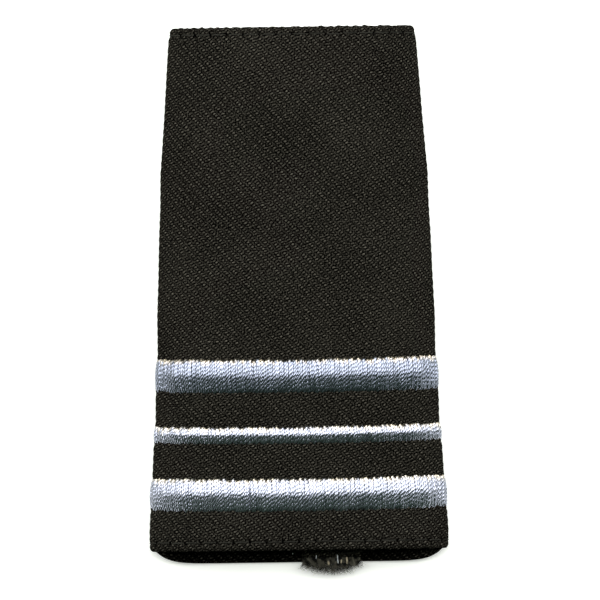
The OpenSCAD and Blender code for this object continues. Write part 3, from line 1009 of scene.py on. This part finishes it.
# Frayed end. At the wide end the allowance was cut off raw, and its yarns have come apart into a
# fringe of crimped stubs and loose fibres. A few pale and tan ends of thread are caught in it.
fray_len = 2.2 * mm
fray_start = allowance_setback + 0.1 * mm
fray_low = hem_t + lift_clearance + 0.1 * mm
fray_high = fray_low + 0.95 * mm
fray_crest = fray_high + 1.2 * mm  # this and the next limit the heights of strands
table_gap = 0.05 * mm
wool_looks = {"Roughness": 0.8, "Specular_IOR_Level": 0.2}
dark_yarn = yarn(
    "dark_yarn", (0.006, 0.006, 0.005), (0.125, 0.118, 0.09), 4, 0.03 * mm, clumps=1100, **wool_looks
)
tan_yarn = yarn("tan_yarn", (0.12, 0.1, 0.07), (0.5, 0.43, 0.3), 4, 0.03 * mm, **wool_looks)
pale_thread = yarn(
    "pale_thread", (0.35, 0.36, 0.37), (0.8, 0.82, 0.85), 4, 0.02 * mm, Roughness=0.4, Specular_IOR_Level=0.5
)
gather = 0.25  # how strongly strands lean towards the tuft's middle
bend_part = 1.2  # spread of their bends by that of their leans
crimps = 1.3  # waves along a strand
rise_part = 0.6  # of their wandering that goes up and down
strand_sag = 0.15
strand_taper = 0.6
strand_twist = 6  # radians


def strands(x, length, radius, spread, curl, stations, sides):
    """Tubes that run out past the back's edge and wander as they go.

    Each starts inside the wall's end, heads outwards at a random angle, and bends by a parabola
    and by a sine that grows along it. It sags by the square of the share along it, and gets
    thinner by the cube."""
    count = len(x)
    along = np.linspace(0, 1, stations)[None, :]
    lip = lip_at(x, 0)
    start_y = wide_y - lip + fray_start * random.uniform(0.2, 1, count)
    start_z = random.uniform(fray_low, fray_high, count)
    reach = (length + start_y - (wide_y - lip))[:, None]
    lean = random.normal(0, spread, (count, 2))
    lean[:, 0] -= gather * ((x - seam_offset) / allowance_w * 2 - 1)
    bend = random.normal(0, spread * bend_part, (count, 2))
    phase = random.uniform(0, 2 * np.pi, (count, 2))
    wave_size = random.normal(0, curl, (count, 2))
    wander = []
    for k in range(2):
        course = reach * (lean[:, [k]] * along + bend[:, [k]] * along**2)
        crimp = np.sin(2 * np.pi * crimps * along + phase[:, [k]]) - np.sin(phase[:, [k]])
        wander.append(course + wave_size[:, [k]] * crimp * along)
    z = start_z[:, None] + rise_part * wander[1] - strand_sag * reach * along**2
    z = np.clip(z, table_gap, fray_crest)
    centres = np.stack([x[:, None] + wander[0], start_y[:, None] - reach * along, z], -1)
    thin = radius[:, None, None] * (1 - strand_taper * along**3)[..., None] * np.ones(sides)
    return tubes(centres, upward + 0 * centres, thin, along * strand_twist + phase[:, :1])


def across_allowance(count, margin=0.15 * mm):
    """Random places across the allowance."""
    return random.uniform(seam_offset + margin, seam_offset + allowance_w - margin, count)


fullness_places = [0, 0.15, 0.4, 0.65, 0.85, 1]  # shares of the allowance's width
fullness = [0.6, 0.8, 1.15, 1.15, 0.7, 0.45]


def tuft_fullness(x):
    """Share of the full length that strands have at places across the allowance, from a table."""
    return np.interp((x - seam_offset) / allowance_w, fullness_places, fullness)


# Crimped stubs of yarn, the many fibres of their ends, and a few long hairs
stub_count = 34
stub_margin = 0.2 * mm
stub_x = np.linspace(seam_offset + stub_margin, seam_offset + allowance_w - stub_margin, stub_count)
stub_len = fray_len * random.uniform(0.3, 0.8, stub_count) * tuft_fullness(stub_x)
stub_r = random.uniform(0.12, 0.18, stub_count) * mm
stubs = strands(stub_x, stub_len, stub_r, spread=0.2, curl=0.12 * mm, stations=12, sides=6)
fibre_count = 2200
fibre_x = across_allowance(fibre_count)
fibre_len = fray_len * random.uniform(0.3, 1.1, fibre_count) * tuft_fullness(fibre_x)
fibre_r = random.uniform(0.009, 0.021, fibre_count) * mm
fibres = strands(fibre_x, fibre_len, fibre_r, spread=0.33, curl=0.3 * mm, stations=7, sides=4)
hair_count = 12
hair_len = fray_len * random.uniform(1, 1.5, hair_count)
hair_x = across_allowance(hair_count)
hair_r = np.full(hair_count, 0.013 * mm)
hairs = strands(hair_x, hair_len, hair_r, spread=0.3, curl=0.4 * mm, stations=16, sides=4)
sew_on("frayed_yarns", joined(stubs, fibres, hairs), dark_yarn, "frayed_end")


def thread_ends(rows):
    """Short tubes that lie on the tuft and sag towards both ends by a parabola.

    Each row gives the place across, the distance past the front's edge, the length, the lean
    sideways, the height of the middle and the radius, in millimetres. The radius falls towards
    both ends by the fourth power."""
    x, start, length, lean, z, radius = (np.array(rows).T * mm)[:, :, None]
    along = np.linspace(0, 1, 9)[None, :]
    sag = 0.25 * length * (2 * along - 1) ** 2
    centres = np.stack([x + lean * along, wide_y - start - length * along, z - sag], -1)
    thick = radius * (1 - 0.3 * (2 * along - 1) ** 4)
    return tubes(centres, upward + 0 * centres, thick[..., None] * np.ones(thread_sides))


pale_rows = [
    (3.35, 1.0, 0.75, -0.1, 3.05, 0.09),
    (7.4, 1.0, 0.75, 0.05, 3.1, 0.13),
    (7.45, 1.8, 0.9, 0.1, 2.9, 0.1),
    (-1.3, 0.55, 0.25, 0.05, 1.85, 0.1),
]
sew_on("pale_thread_ends", thread_ends(pale_rows), pale_thread, "frayed_end")
tan_rows = [
    (5.6, 2.3, 0.7, 0.15, 2.95, 0.22),
    (9.25, 1.5, 1.3, 0.05, 3.0, 0.2),
    (8.2, 2.0, 0.7, -0.1, 2.85, 0.14),
]
sew_on("tan_yarn_ends", thread_ends(tan_rows), tan_yarn, "frayed_end")
